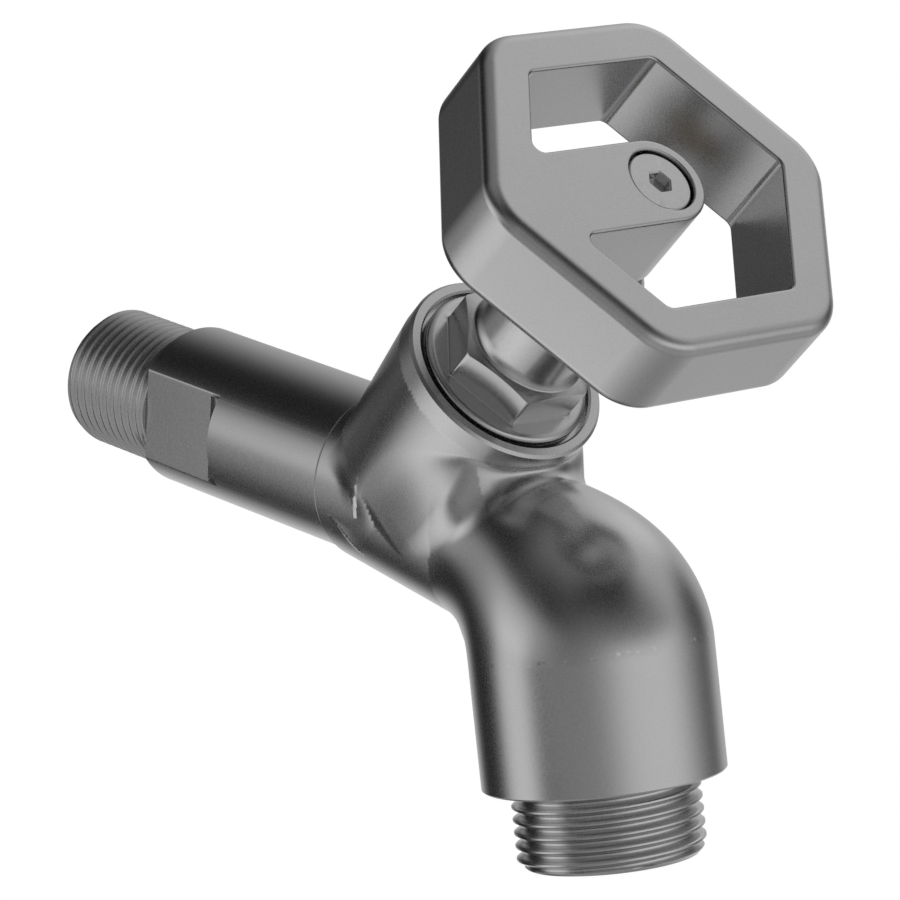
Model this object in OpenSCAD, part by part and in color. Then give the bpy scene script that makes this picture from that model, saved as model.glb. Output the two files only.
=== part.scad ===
// Garden tap: screw-down bib tap with a leaning headwork and a male hose outlet.
// The inlet axis is Y, the wall is at +Y, Z is up, and the origin is the inlet shoulder on that axis.

/* [Inlet] */
// Outer diameter of the inlet thread (half-inch pipe thread)
inlet_thread_d = 20.955; // [19.5:0.005:21.8]
// Length of the inlet thread
inlet_thread_len = 20.2; // [14:0.1:28]
// Pitch of both pipe threads (14 per inch)
thread_pitch = 1.814; // [1.4:0.001:2.2]
// Depth of both pipe threads
thread_depth = 1.162; // [0.6:0.001:1.2]
// Width of a thread crest's flat land
crest_land = 0.30; // [0.15:0.01:0.5]
// Chamfer at the free end of each thread
thread_lead = 1.2; // [0.6:0.1:1.6]
// Outer diameter of the shank
shank_d = 24; // [23:0.1:26]
// Length of the shank from its joint with the body to the shoulder
shank_len = 40.7; // [34:0.1:60]
// Bore of the inlet
inlet_bore_d = 13; // [10:0.1:13.6]
// Width across the two spanner flats
flat_af = 19.8; // [19.2:0.1:21.5]
// Length of the spanner flats
flat_len = 17.2; // [10:0.1:20]
// Gap between the stub's end and the step in the shank
stub_end_gap = 0.5; // [0.2:0.1:1]

/* [Body casting] */
// Outer diameter of the horizontal barrel
barrel_d = 24.7; // [24.2:0.1:27]
// Length of the barrel behind the point where the headwork axis crosses it
barrel_back_len = 8.5; // [7:0.1:12]
// Outer diameter of the threaded stub that enters the shank
stub_d = 18; // [17:0.1:18.6]
// Length of the stub
stub_len = 10; // [7:0.1:14]
// Distance from the stub's end to the middle of its O-ring groove
stub_groove_in = 2.8; // [2:0.1:4]
// Length of the barrel that runs on inside the arm
barrel_lap = 6; // [4:0.5:8]
// Lean of the headwork towards the front, from vertical
headwork_lean = 41; // [38:0.5:46]
// Diameter of the collar where its axis crosses the barrel
collar_base_d = 24.3; // [23.6:0.1:26]
// Outer diameter of the collar at its rim
collar_rim_d = 30.1; // [29.4:0.1:33]
// Distance from the axis crossing to the collar rim
collar_len = 28.4; // [27.8:0.1:31]
// Length of the straight rim above the flared part of the collar
collar_rim_len = 3.4; // [2:0.1:6]
// Chamfer on the collar rim
rim_chamfer = 0.4; // [0.2:0.1:0.8]
// Depth of the collar's root below the axis crossing
collar_root = 5; // [4:0.1:5.4]
// Depth of the recess in the collar rim
recess_depth = 1.5; // [1.2:0.1:2]
// Gap round the bonnet flange in its recess
recess_gap = 0.6; // [0.4:0.1:1]
// Outer diameter of the arm between the barrel and the spout
arm_d = 25.2; // [24.8:0.1:27]
// Drop of the arm towards the spout, from level
arm_drop = 6.3; // [4:0.1:9]
// Distance from the headwork axis crossing to the spout axis, along the barrel
spout_reach = 35.7; // [33:0.1:42]
// Distance from the spout axis back to the end of the arm's round
arm_short = 3; // [2:0.1:4]
// Length along the barrel over which the arm flares into the spout
flare_len = 13.57; // [10:0.01:16]
// Depth of the flare's edges below the arm and the spout
flare_inset = 0.3; // [0.2:0.05:0.4]
// Lean of the spout towards the front, from vertical
spout_lean = 14; // [8:0.5:18]
// Outer diameter of the spout
spout_d = 34.1; // [33.4:0.1:37]
// Length of the spout below the inlet axis
spout_len = 32.15; // [31:0.05:45]
// Depth of the spout's round knuckle below the inlet axis
knuckle_drop = 11.8; // [9:0.1:13]
// Diameter of the waterway through arm and spout
waterway_d = 13; // [10:0.1:14]
// Distance from the axis crossing to the start of the outlet passage
passage_start = 12; // [10.5:0.1:13]
// Widening of the passage where it turns down
turn_relief = 0.3; // [0.2:0.05:0.5]
// Distance from the inlet axis down to the spout's bore
spout_bore_drop = 2; // [1:0.1:3]
// Widening of the spout's bore above the nipple
spout_step_w = 1.5; // [1:0.1:2]
// Height of that widening
spout_step_h = 2; // [1:0.1:3]

/* [Seat] */
// Diameter of the valve port
port_d = 11; // [9.5:0.1:11.4]
// Height of the seat lip above the axis crossing
seat_height = 5; // [4.6:0.1:5.6]
// Outer diameter of the seat ring
seat_ring_d = 16; // [15.4:0.1:16.6]
// Length of the seat ring
seat_ring_len = 4.4; // [3.8:0.1:4.8]
// Width of the raised seat lip
seat_lip_w = 0.9; // [0.6:0.1:1.1]
// Height of the raised seat lip
seat_lip_h = 0.8; // [0.4:0.1:1.2]
// Diameter of the chamber round the valve disc
chamber_d = 19; // [18.4:0.1:19.8]
// Depth of the port's passage below the axis crossing
port_depth = 5; // [4:0.1:6]
// Widening of the passage under the port
port_relief = 0.5; // [0.3:0.1:0.8]
// Width of the slots for the seat spanner
seat_slot_w = 1.6; // [1.2:0.1:2]
// Depth of the slots for the seat spanner
seat_slot_h = 1.2; // [0.8:0.1:1.6]
// Reach of the slots into the seat ring
seat_slot_reach = 1.2; // [0.8:0.1:1.6]

/* [Headwork] */
// Outer diameter of the bonnet thread
bonnet_thread_d = 20.3; // [20.2:0.1:21.2]
// Pitch of the bonnet thread
bonnet_pitch = 1.4; // [1.2:0.05:1.6]
// Depth of the bonnet thread
bonnet_thread_depth = 0.8; // [0.5:0.05:0.9]
// Room below the bonnet thread
bonnet_relief = 0.6; // [0.4:0.1:1]
// Length of the bonnet barrel below its flange
bonnet_barrel_len = 10.2; // [8.6:0.1:10.8]
// Diameter of the bonnet flange
bonnet_flange_d = 25.2; // [24.2:0.1:25.8]
// Height of the bonnet flange
bonnet_flange_h = 1.3; // [1:0.1:2]
// Height of the flange's straight edge
flange_edge_h = 0.5; // [0.3:0.1:0.7]
// Width of the flange's rounded shoulder
flange_round_w = 1.1; // [0.6:0.1:1.3]
// Width across the flats of the bonnet hexagon
bonnet_hex_af = 18.7; // [18.4:0.1:20.4]
// Height of the bonnet hexagon
bonnet_hex_h = 5.6; // [5:0.1:8]
// Height of the chamfer on the hexagon's corners
hex_chamfer_h = 0.9; // [0.5:0.1:1.2]
// Width of the chamfer on the hexagon's flats
hex_land = 0.1; // [0.1:0.1:0.4]
// Diameter of the neck above the hexagon
neck_d = 16; // [15.6:0.1:17]
// Height of the neck above the hexagon
neck_h = 14; // [12:0.1:16]
// Width of the fillet at the neck's foot
foot_w = 0.7; // [0.4:0.1:1]
// Height of the fillet at the neck's foot
foot_h = 2; // [1:0.1:3]
// Chamfer on small turned edges
edge = 0.3; // [0.1:0.05:0.4]
// Thickness of the seal under the bonnet flange
bonnet_seal_t = 0.8; // [0.5:0.1:1.2]
// Width across the flats of the jumper's guide
guide_af = 12; // [11:0.1:12.2]
// Diameter of the spindle stem
stem_d = 8; // [7.4:0.1:8.4]
// Diameter of the spindle collar
spindle_collar_d = 12.8; // [11.6:0.1:13]
// Height of the spindle collar
spindle_collar_h = 2; // [1.4:0.1:2.6]
// Thickness of the shelf under the spindle collar
shelf_t = 1.6; // [1.2:0.1:2.2]
// Gap round the stem below the collar
shelf_gap = 0.3; // [0.2:0.05:0.5]
// Thickness of the thrust washer
thrust_washer_t = 0.8; // [0.5:0.1:1.2]
// Height of the gland packing
packing_h = 4; // [3:0.1:5]
// Outer diameter of the gland nut's thread
gland_thread_d = 13.8; // [13.6:0.1:14]
// Pitch of the gland nut's thread
gland_pitch = 1; // [0.8:0.05:1.2]
// Depth of the gland nut's thread
gland_thread_depth = 0.5; // [0.4:0.05:0.6]
// Height of the gland nut's head
gland_head_h = 5; // [4:0.1:6]
// Chamfer on top of the gland nut
gland_chamfer = 0.8; // [0.4:0.1:1.2]
// Width across the gland nut's spanner flats
gland_flat_af = 14.8; // [14.2:0.1:15.2]
// Height of the gland nut's spanner flats
gland_flat_h = 4.3; // [3:0.1:4.6]
// Distance between the two O-rings in the gland nut
gland_ring_pitch = 3.2; // [2.6:0.1:3.6]

/* [Spindle drive] */
// Outer diameter of the drive thread
drive_d = 6.8; // [6:0.1:7.2]
// Lead of the drive thread
drive_lead = 2.5; // [2:0.05:2.6]
// Depth of the drive thread
drive_depth = 0.5; // [0.4:0.05:0.6]
// Turns of the handle from closed to fully open
handle_turns = 2.25; // [1.5:0.05:2.3]
// Height of the valve disc plate
plate_h = 2.4; // [1.8:0.1:2.6]
// Thickness of the seat washer
seat_washer_t = 3; // [2.4:0.1:3.2]
// Diameter of the seat washer
seat_washer_d = 14.8; // [14.2:0.1:15]
// Wall of the cup round the seat washer
cup_wall = 0.8; // [0.6:0.1:1]
// Depth of the cup round the seat washer
cup_depth = 1.8; // [1.2:0.1:2.2]
// Length of the jumper's guide above the plate
guide_len = 13.4; // [12.6:0.1:13.8]
// Depth of the washer screw's hole above the plate's underside
screw_hole_depth = 4.2; // [3.6:0.1:4.6]
// Thickness of the web between the screw's hole and the drive bore
jumper_web = 0.9; // [0.6:0.1:1.3]
// Room left at the ends of the jumper's travel
travel_spare = 0.5; // [0.3:0.1:0.8]
// Diameter of the washer screw's shank
washer_screw_d = 4; // [3:0.1:4]
// Diameter of the washer screw's head
washer_screw_head_d = 7.2; // [6:0.1:7.6]
// Height of the washer screw's head
washer_screw_head_h = 1.4; // [1:0.1:1.8]
// Width of the washer screw's slot
screw_slot_w = 1; // [0.8:0.1:1.2]
// Depth of the washer screw's slot
screw_slot_depth = 0.6; // [0.4:0.1:0.8]
// Room above the washer screw's end
screw_end_gap = 0.3; // [0.2:0.1:0.6]

/* [Handle] */
// Width across the flats of the hexagonal handle
handle_af = 53; // [48:0.1:60]
// Thickness of the handle
handle_h = 14.2; // [13:0.1:16]
// Corner radius of the handle
handle_corner_r = 8.5; // [6:0.1:11]
// Width of the ring
rim_w = 6.95; // [5:0.05:9]
// Rounding of the handle's outer edges
handle_edge_r = 1.9; // [1:0.1:2.4]
// Corner radius of the opening
opening_corner_r = 1.6; // [1:0.1:3]
// Corner radius where the spoke meets the ring
spoke_corner_r = 1.4; // [0.8:0.1:4]
// Width of the spoke, also the diameter of the hub
spoke_w = 13.4; // [12.8:0.1:16]
// Distance from the axis crossing to the handle's top face
handle_top = 71.4; // [70.6:0.1:76]
// Diameter of the screw pocket in the hub
pocket_d = 10.1; // [9.9:0.1:10.6]
// Diameter of the handle screw's head
screw_head_d = 9.6; // [9:0.1:9.7]
// Height of the handle screw's head
screw_head_h = 2.4; // [2:0.1:2.6]
// Depth of the screw's head below the hub face
screw_sunk = 0.45; // [0.2:0.05:0.8]
// Width across the flats of the screw's socket
socket_af = 3; // [2.5:0.1:3.5]
// Depth of the screw's socket
socket_depth = 1.44; // [1:0.02:1.8]
// Diameter of the handle screw's shank
screw_d = 4; // [3:0.1:4]
// Thickness of the washer under the screw's head
lock_washer_t = 0.8; // [0.5:0.1:1]
// Thickness of the hub's web above the spindle
hub_web = 1.9; // [1.4:0.1:2.6]
// Side of the spindle's square drive
square_side = 6.6; // [5.6:0.1:7]
// Length of the square below the handle
square_drop = 0.6; // [0.4:0.1:1]

/* [Outlet] */
// Outer diameter of the hose thread (three-quarter-inch pipe thread)
hose_thread_d = 26.441; // [25.6:0.001:27]
// Length of the nipple below the spout
hose_thread_len = 11.25; // [9:0.05:16]
// Height of the plain neck between spout and hose thread
hose_neck_h = 0.6; // [0.4:0.1:1.2]
// Outer diameter of the nipple's upper thread
nipple_thread_d = 25; // [24.4:0.1:25.6]
// Pitch of the nipple's upper thread
nipple_pitch = 1.5; // [1.2:0.05:1.8]
// Depth of the nipple's upper thread
nipple_thread_depth = 0.8; // [0.6:0.05:0.9]
// Length of the nipple inside the spout
nipple_in_len = 9; // [8.4:0.1:10]
// Thickness of the seal above the nipple
nipple_seal_t = 1; // [0.6:0.1:1.4]
// Inset of the seal's edge from the nipple's outside
seal_inset = 0.2; // [0.1:0.05:0.3]
// Gap between the seal and the check valve's housing
seal_bore_gap = 0.4; // [0.2:0.1:0.6]
// Bore at the nipple's mouth
mouth_bore_d = 16.4; // [15:0.1:17]

/* [Check valve] */
// Outer diameter of the check valve's housing
cartridge_d = 19; // [18.4:0.1:19.2]
// Length of the housing
cartridge_len = 13; // [12.6:0.1:13.4]
// Distance from the nipple's end to the retaining ring
clip_in = 0.6; // [0.4:0.1:1]
// Thickness of the retaining ring
clip_h = 0.8; // [0.6:0.05:0.9]
// Stand-out of the retaining ring over the housing
clip_out = 0.5; // [0.3:0.05:0.55]
// Width of the retaining ring inside the housing's edge
clip_w = 1; // [0.8:0.1:1.3]
// Width of the opening in the retaining ring
clip_gap = 3; // [2:0.1:5]
// Distance from the housing's top to the middle of its O-ring groove
housing_groove_in = 3.6; // [3:0.1:6]
// Wall of the housing
cartridge_wall = 2; // [1.6:0.1:2]
// Diameter of the check valve's port
check_port_d = 10.4; // [9.6:0.1:11]
// Thickness of the port wall
check_port_t = 2; // [1.6:0.1:2.4]
// Diameter of the poppet's disc
poppet_d = 13.2; // [12.8:0.1:13.4]
// Thickness of the poppet's disc
poppet_t = 1.6; // [1.2:0.1:1.8]
// Thickness of the poppet's seal
poppet_seal_t = 0.8; // [0.5:0.1:1]
// Gap between the poppet's boss and the port
boss_gap = 1.6; // [1.2:0.1:2]
// Gap between the poppet's seal and its boss
seal_gap = 0.1; // [0.05:0.01:0.2]
// Diameter of the poppet's stem
poppet_stem_d = 2.6; // [2.2:0.1:2.8]
// Distance from the stem's end to the housing's end, closed
stem_short = 0.6; // [0.4:0.1:1]
// Opening travel of the poppet
poppet_travel = 2.6; // [2:0.1:2.8]
// Height of the guide at the bottom of the housing
spider_h = 2; // [1.6:0.1:2.2]
// Wall of the guide's hub
hub_wall = 1; // [0.8:0.1:1.3]
// Width of the guide's ribs
rib_w = 1.4; // [1:0.1:2]
// Wire diameter of the return spring
spring_wire_d = 0.6; // [0.4:0.05:0.65]
// Mean diameter of the return spring
spring_mean_d = 6.6; // [6:0.1:7.4]
// Number of turns in the return spring
spring_turns = 4.5; // [3:0.25:5]

/* [Fits] */
// Radial clearance of screwed and pushed joints
joint_gap = 0.05; // [0.03:0.01:0.08]
// Radial clearance of turning and sliding joints
running_gap = 0.06; // [0.03:0.01:0.1]
// Axial clearance of faces that slide on each other
face_gap = 0.1; // [0.05:0.01:0.2]
// Wire diameter of the O-rings
o_ring_w = 1.2; // [0.9:0.1:1.3]
// Gap between an O-ring and the floor of its groove
o_ring_gap = 0.01; // [0.005:0.005:0.03]

/* [Hidden] */
$fn = 96;
hull_facets = 32;
eps = 0.01;
over = 1;
far = 80;

// Places on the inlet axis, along Y
joint_y = -shank_len;
crossing_y = joint_y - barrel_back_len;
spout_y = crossing_y - spout_reach;
stub_end_y = joint_y + stub_len;

// Length along the arm, from the crossing
arm_len = spout_reach - arm_short;

// Heights along the headwork axis, from the crossing
flange_seat = collar_len - recess_depth;
bonnet_bottom = flange_seat + bonnet_seal_t - bonnet_barrel_len;
flange_bottom = flange_seat + bonnet_seal_t;
flange_top = flange_bottom + bonnet_flange_h;
hex_top = flange_top + bonnet_hex_h;
neck_top = hex_top + neck_h;
lift = drive_lead * handle_turns;
washer_bottom = seat_height + face_gap;
plate_bottom = washer_bottom + seat_washer_t;
plate_top = plate_bottom + plate_h;
guide_top = plate_top + guide_len;
screw_hole_top = plate_bottom + screw_hole_depth;
drive_bore_bottom = screw_hole_top + jumper_web;
spindle_bottom = drive_bore_bottom + lift + travel_spare;
guide_bore_top = guide_top + lift + travel_spare;
spindle_shelf = guide_bore_top + shelf_t;
spindle_collar_bottom = spindle_shelf + face_gap;
spindle_collar_top = spindle_collar_bottom + spindle_collar_h;
thrust_bottom = spindle_collar_top + face_gap;
packing_bottom = thrust_bottom + thrust_washer_t;
packing_top = packing_bottom + packing_h;
gland_top = neck_top + gland_head_h;
handle_bottom = handle_top - handle_h;
square_start = handle_bottom - square_drop;
gland_mid = (packing_top + gland_top) / 2;
washer_seat = handle_top - screw_sunk - screw_head_h - lock_washer_t;
spindle_top = washer_seat - hub_web - face_gap;

// Depths along the spout axis, from the inlet axis
nipple_top = spout_len - nipple_in_len;
nipple_bottom = spout_len + hose_thread_len;
seal_top = nipple_top - nipple_seal_t;
clip_top = nipple_top + clip_in;
cartridge_top = clip_top + clip_h + joint_gap;
cartridge_bottom = cartridge_top + cartridge_len;
port_bottom = cartridge_top + check_port_t;
poppet_top = port_bottom + face_gap + poppet_seal_t;
poppet_bottom = poppet_top + poppet_t;
spider_top = cartridge_bottom - spider_h;
stem_bottom = cartridge_bottom - stem_short;

// O-rings
stub_groove_y = stub_end_y - stub_groove_in;
o_groove_w = o_ring_w + 0.4;
function groove_floor(shaft_r, gap) = shaft_r + gap / 2 - o_ring_w - o_ring_gap;

// Radii
inlet_r = inlet_thread_d / 2;
hose_r = hose_thread_d / 2;
cartridge_r = cartridge_d / 2;
flange_r = bonnet_flange_d / 2;
socket_r = nipple_thread_d / 2 + joint_gap;

// Places a piece on the headwork axis, with local Z along that axis.
module on_headwork() {
  translate([0, crossing_y, 0]) rotate([headwork_lean, 0, 0]) children();
}

// Places a piece on the spout axis, with local -Z down that axis.
module on_spout() {
  translate([0, spout_y, 0]) rotate([-spout_lean, 0, 0]) children();
}

// Ring of rectangular section between two heights.
module ring(outer_r, inner_r, low, high) {
  translate([0, 0, low]) difference() {
    cylinder(r = outer_r, h = high - low);
    translate([0, 0, -over]) cylinder(r = inner_r, h = high - low + 2 * over);
  }
}

// Disc or shaft between two heights.
module rod(r, low, high) {
  translate([0, 0, low]) cylinder(r = r, h = high - low);
}

// Hexagonal bar between two heights, with corners along X.
module hex_bar(af, low, high) {
  translate([0, 0, low]) cylinder(r = af / sqrt(3), h = high - low, $fn = 6);
}

// O-ring whose inner radius is given.
module o_ring(inner_r, height) {
  translate([0, 0, height]) rotate_extrude() translate([inner_r + o_ring_w / 2, 0])
    circle(d = o_ring_w, $fn = 32);
}

// Half-section of a threaded shaft: crest rings with flat lands, from z = 0 up, chamfered at the top.
function thread_points(r, length, depth, pitch, lead) =
  let (
    count = floor((length - lead - crest_land) / pitch),
    flank = (pitch - 2 * crest_land) / 2
  )
  concat(
    [[0, 0]],
    [for (n = [0 : count], corner = [0 : 3])
      n == 0 && corner == 0 ? [r, 0] :
      corner == 0 ? [r, n * pitch] :
      corner == 1 ? [r, n * pitch + crest_land] :
      corner == 2 && n < count ? [r - depth, n * pitch + crest_land + flank] :
      corner == 3 && n < count ? [r - depth, n * pitch + 2 * crest_land + flank] :
      corner == 2 ? [r, length - lead] : [r - lead, length]],
    [[0, length]]
  );

module threaded_rod(r, length, depth, pitch, lead) {
  rotate_extrude() polygon(thread_points(r, length, depth, pitch, lead));
}

// Body casting with its waterways.
module collar_outside() {
  slope = (collar_rim_d - collar_base_d) / 2 / (collar_len - collar_rim_len);
  translate([0, 0, -collar_root])
    cylinder(
      r1 = collar_base_d / 2 - slope * collar_root,
      r2 = collar_rim_d / 2,
      h = collar_len - collar_rim_len + collar_root
    );
  rod(collar_rim_d / 2, collar_len - collar_rim_len, collar_len - rim_chamfer);
  translate([0, 0, collar_len - rim_chamfer])
    cylinder(r1 = collar_rim_d / 2, r2 = collar_rim_d / 2 - rim_chamfer, h = rim_chamfer);
}

module arm_axis() {
  translate([0, crossing_y, 0]) rotate([90 + arm_drop, 0, 0]) children();
}

module flare() {
  flare_top = [
    0,
    spout_y + flare_len,
    -(spout_reach - flare_len) * tan(arm_drop)
  ];
  knuckle = [
    0,
    spout_y - knuckle_drop * sin(spout_lean),
    -knuckle_drop * cos(spout_lean)
  ];
  run = knuckle - flare_top;
  flare_angle = atan2(-run[1], run[2]);
  translate(flare_top) rotate([flare_angle, 0, 0])
    cylinder(r1 = arm_d / 2 - flare_inset, r2 = spout_d / 2 - flare_inset, h = norm(run));
}

module body_outside() {
  translate([0, joint_y, 0]) rotate([90, 0, 0]) cylinder(d = barrel_d, h = barrel_back_len + barrel_lap);
  translate([0, stub_end_y, 0]) rotate([90, 0, 0]) cylinder(d = stub_d, h = stub_len + over);
  on_headwork() collar_outside();
  arm_axis() rotate_extrude() {
    square([arm_d / 2, arm_len]);
    intersection() {
      translate([0, arm_len]) circle(d = arm_d);
      translate([0, arm_len - eps]) square([arm_d, arm_d]);
    }
  }
  flare();
  on_spout() rotate_extrude() {
    translate([0, -spout_len]) square([spout_d / 2, spout_len - knuckle_drop]);
    intersection() {
      translate([0, -knuckle_drop]) circle(d = spout_d);
      translate([0, -knuckle_drop - eps]) square([spout_d, spout_d]);
    }
  }
}

module body_waterways() {
  // Inlet bore and the chamber under the seat
  translate([0, stub_end_y + over, 0]) rotate([90, 0, 0])
    cylinder(d = inlet_bore_d, h = stub_len + barrel_back_len + over);
  on_headwork() {
    rod(port_d / 2 + port_relief, -port_depth, seat_height);
    rod(seat_ring_d / 2 + joint_gap, seat_height - seat_ring_len, seat_height + over);
    rod(chamber_d / 2, seat_height - seat_lip_h, bonnet_bottom + over);
    rod(bonnet_thread_d / 2 + joint_gap, bonnet_bottom - bonnet_relief, collar_len + over);
    rod(flange_r + recess_gap, flange_seat, collar_len + over);
  }
  // Outlet passage through the arm
  arm_axis() rod(waterway_d / 2, passage_start, spout_reach);
  translate([0, spout_y, -spout_reach * tan(arm_drop)]) sphere(r = waterway_d / 2 + turn_relief);
  // Spout bore and the nipple's socket
  on_spout() {
    rod(waterway_d / 2 - turn_relief, -seal_top - over, -spout_bore_drop);
    rod(waterway_d / 2 + spout_step_w, -seal_top - over, -seal_top + spout_step_h);
    rod(socket_r, -far, -seal_top);
  }
  // Groove for the O-ring on the stub
  translate([0, stub_groove_y, 0]) rotate([90, 0, 0])
    ring(stub_d / 2 + over, groove_floor(stub_d / 2, joint_gap), -o_groove_w / 2, o_groove_w / 2);
}

module valve_body() {
  color([0.55, 0.55, 0.56]) difference() {
    body_outside();
    body_waterways();
  }
}

// Turned shank with the inlet thread and two spanner flats.
module inlet_shank() {
  color([0.58, 0.58, 0.59]) difference() {
    union() {
      rotate([-90, 0, 0]) threaded_rod(inlet_r, inlet_thread_len, thread_depth, thread_pitch, thread_lead);
      rotate([90, 0, 0]) rod(shank_d / 2, 0, shank_len);
    }
    translate([0, inlet_thread_len + over, 0]) rotate([90, 0, 0])
      rod(inlet_bore_d / 2, 0, inlet_thread_len + shank_len + 2 * over);
    translate([0, stub_end_y + stub_end_gap, 0]) rotate([90, 0, 0])
      rod(stub_d / 2 + joint_gap, 0, stub_len + stub_end_gap + over);
    for (side = [-1, 1])
      translate([side * (flat_af / 2 + shank_d / 2), -flat_len / 2, 0])
        cube([shank_d, flat_len + 2 * eps, shank_d], center = true);
  }
}

module shank_o_ring() {
  color([0.12, 0.12, 0.12]) translate([0, stub_groove_y, 0]) rotate([90, 0, 0])
    o_ring(stub_d / 2 + joint_gap / 2 - o_ring_w, 0);
}

// Seat screwed into the body's web.
module seat_ring() {
  lip_outer = port_d / 2 + seat_lip_w;
  color([0.72, 0.6, 0.32]) on_headwork() difference() {
    union() {
      rod(seat_ring_d / 2, seat_height - seat_ring_len, seat_height - seat_lip_h);
      rod(lip_outer, seat_height - seat_lip_h - eps, seat_height);
    }
    rod(port_d / 2, -over, seat_height + over);
    for (turn = [0, 90]) rotate([0, 0, turn])
      translate([0, 0, seat_height - seat_ring_len])
        cube([port_d + 2 * seat_slot_reach, seat_slot_w, 2 * seat_slot_h], center = true);
  }
}

// Bonnet: threaded barrel, flange, hexagon and neck.
module bonnet() {
  neck_r = neck_d / 2;
  corner_r = bonnet_hex_af / sqrt(3);
  color([0.6, 0.6, 0.61]) on_headwork() difference() {
    union() {
      translate([0, 0, flange_bottom + eps]) mirror([0, 0, 1])
        threaded_rod(
          bonnet_thread_d / 2,
          bonnet_barrel_len + eps,
          bonnet_thread_depth,
          bonnet_pitch,
          bonnet_thread_depth
        );
      rotate_extrude() polygon([
        [0, flange_bottom],
        [flange_r, flange_bottom],
        [flange_r, flange_bottom + flange_edge_h],
        [flange_r - flange_round_w / 3, (flange_bottom + flange_edge_h + flange_top) / 2],
        [flange_r - flange_round_w, flange_top],
        [0, flange_top]
      ]);
      intersection() {
        hex_bar(bonnet_hex_af, flange_top - eps, hex_top);
        rotate_extrude() polygon([
          [0, flange_bottom],
          [corner_r + over, flange_bottom],
          [corner_r + over, hex_top - hex_chamfer_h],
          [bonnet_hex_af / 2 - hex_land, hex_top],
          [0, hex_top]
        ]);
      }
      rotate_extrude() polygon([
        [0, hex_top - eps],
        [neck_r + foot_w, hex_top - eps],
        [neck_r + foot_w, hex_top + foot_h / 4],
        [neck_r + foot_w / 2, hex_top + foot_h / 2],
        [neck_r, hex_top + foot_h],
        [neck_r, neck_top - edge],
        [neck_r - edge, neck_top],
        [0, neck_top]
      ]);
    }
    hex_bar(guide_af + 4 * running_gap, bonnet_bottom - over, guide_bore_top);
    rod(stem_d / 2 + shelf_gap, guide_bore_top - over, spindle_shelf + over);
    rod(spindle_collar_d / 2 + running_gap, spindle_shelf, packing_top + over);
    rod(gland_thread_d / 2 + joint_gap, packing_top, neck_top + over);
  }
}

module bonnet_seal() {
  color([0.15, 0.15, 0.15]) on_headwork()
    ring(flange_r - seal_inset, bonnet_thread_d / 2 + 2 * joint_gap, flange_seat, flange_bottom);
}

// Gland nut: threaded skirt and a round head with two spanner flats.
module gland_nut() {
  head_r = neck_d / 2;
  color([0.6, 0.6, 0.61]) on_headwork() difference() {
    union() {
      translate([0, 0, neck_top + eps]) mirror([0, 0, 1])
        threaded_rod(
          gland_thread_d / 2,
          neck_top - packing_top + eps,
          gland_thread_depth,
          gland_pitch,
          gland_thread_depth
        );
      rotate_extrude() polygon([
        [0, neck_top],
        [head_r - edge, neck_top],
        [head_r, neck_top + edge],
        [head_r, gland_top - gland_chamfer],
        [head_r - gland_chamfer, gland_top],
        [0, gland_top]
      ]);
    }
    rod(stem_d / 2 + running_gap, packing_top - over, gland_top + over);
    for (side = [-1, 1])
      translate([0, side * (gland_flat_af + neck_d) / 2, gland_top])
        cube([neck_d + over, neck_d, 2 * gland_flat_h], center = true);
  }
}

module gland_packing() {
  color([0.85, 0.84, 0.8]) on_headwork()
    ring(spindle_collar_d / 2, stem_d / 2 + running_gap, packing_bottom, packing_top);
}

module thrust_washer() {
  color([0.9, 0.89, 0.86]) on_headwork()
    ring(spindle_collar_d / 2, stem_d / 2 + running_gap, thrust_bottom, packing_bottom);
}

// Spindle that turns but doesn't rise: drive thread, collar, stem and square.
module spindle() {
  color([0.72, 0.6, 0.32]) on_headwork() difference() {
    union() {
      translate([0, 0, spindle_collar_bottom + eps]) mirror([0, 0, 1])
        threaded_rod(
          drive_d / 2,
          spindle_collar_bottom - spindle_bottom + eps,
          drive_depth,
          drive_lead / 2,
          drive_depth
        );
      rod(spindle_collar_d / 2, spindle_collar_bottom, spindle_collar_top);
      rod(stem_d / 2, spindle_collar_top - eps, square_start + eps);
      translate([0, 0, (square_start + spindle_top) / 2])
        cube([square_side, square_side, spindle_top - square_start], center = true);
    }
    for (side = [-1, 1])
      translate([0, 0, gland_mid + side * gland_ring_pitch / 2])
        ring(stem_d, groove_floor(stem_d / 2, running_gap), -o_groove_w / 2, o_groove_w / 2);
    rod(screw_d / 2 + joint_gap, handle_bottom - over, spindle_top + over);
  }
}

module spindle_o_rings() {
  color([0.12, 0.12, 0.12]) on_headwork() for (side = [-1, 1])
    o_ring(stem_d / 2 + running_gap / 2 - o_ring_w, gland_mid + side * gland_ring_pitch / 2);
}

// Jumper: washer cup, plate and the hexagonal guide with the drive thread's bore.
module jumper() {
  cup_r = seat_washer_d / 2 + joint_gap + cup_wall;
  color([0.72, 0.6, 0.32]) on_headwork() difference() {
    union() {
      rod(cup_r, plate_bottom - cup_depth, plate_top);
      hex_bar(guide_af, plate_top - eps, guide_top);
    }
    rod(seat_washer_d / 2 + joint_gap, plate_bottom - seat_washer_t, plate_bottom);
    rod(washer_screw_d / 2 + joint_gap, plate_bottom - over, screw_hole_top);
    rod(drive_d / 2 + running_gap, drive_bore_bottom, guide_top + over);
  }
}

module seat_washer() {
  color([0.13, 0.13, 0.13]) on_headwork()
    ring(seat_washer_d / 2, washer_screw_d / 2 + joint_gap, washer_bottom, plate_bottom);
}

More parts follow.
